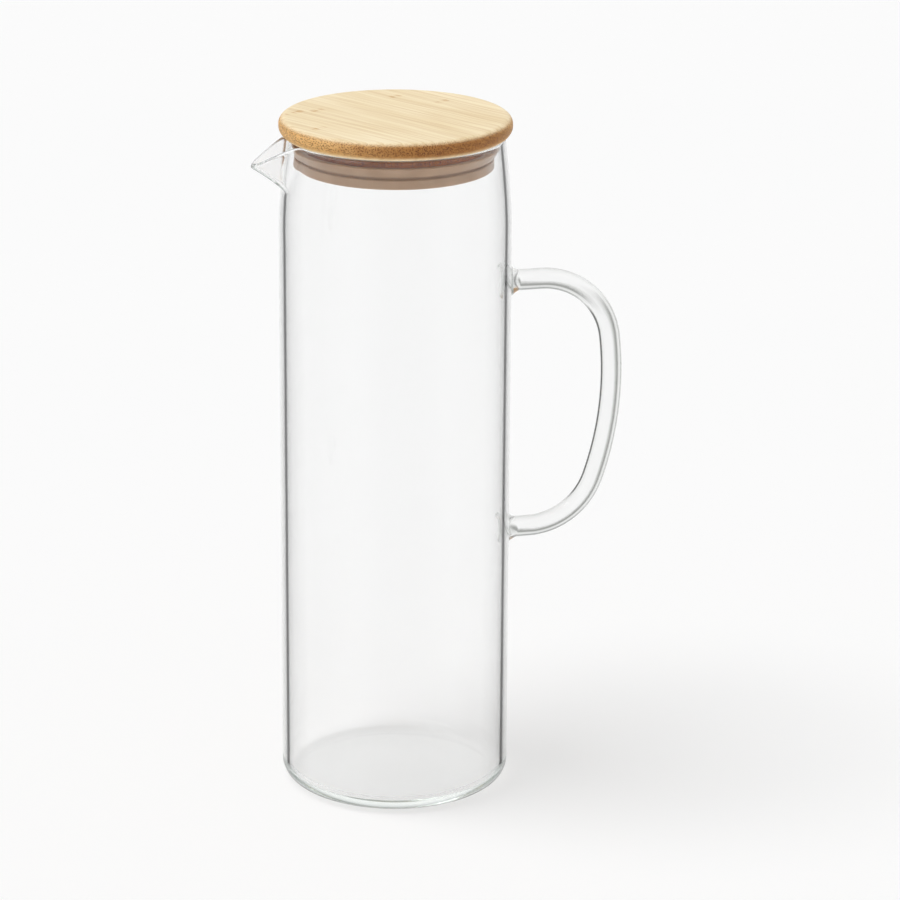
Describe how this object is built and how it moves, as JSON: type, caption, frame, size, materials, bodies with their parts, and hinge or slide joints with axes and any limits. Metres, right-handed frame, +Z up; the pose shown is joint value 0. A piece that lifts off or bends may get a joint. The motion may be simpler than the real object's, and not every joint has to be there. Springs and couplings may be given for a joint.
{
  "type": "glass pitcher with lid",
  "caption": "Tall clear glass pitcher with a pulled spout, a bent rod handle and a round bamboo lid that plugs the mouth with a silicone seal.",
  "frame": {"origin": "centre of the foot's standing plane, on the axis of the glass body", "axes": "+Z up along the axis of the glass body, -X towards the spout, +X towards the handle, +Y completes the right-handed frame"},
  "size_m": [0.1653, 0.1, 0.3009],
  "materials": {
    "clear_glass": "clear, fire-polished borosilicate glass",
    "bamboo": "fine-sanded, lightly oiled bamboo board",
    "silicone": "satin, translucent silicone"
  },
  "bodies": {
    "jug": {"glass_body": "clear_glass", "handle": "clear_glass"},
    "seal": {"seal_ring": "silicone"},
    "lid": {"lid_disc": "bamboo", "lid_plug": "bamboo"}
  },
  "joints": [
    {"name": "lid_lift", "type": "slide", "parent": "jug", "child": "seal", "axis": [0, 0, 1], "range_m": [0, 0.05]},
    {"name": "lid_turn", "type": "hinge", "parent": "seal", "child": "lid", "pos_m": [0, 0, 0.2927], "axis": [0, 0, 1], "continuous": true}
  ]
}
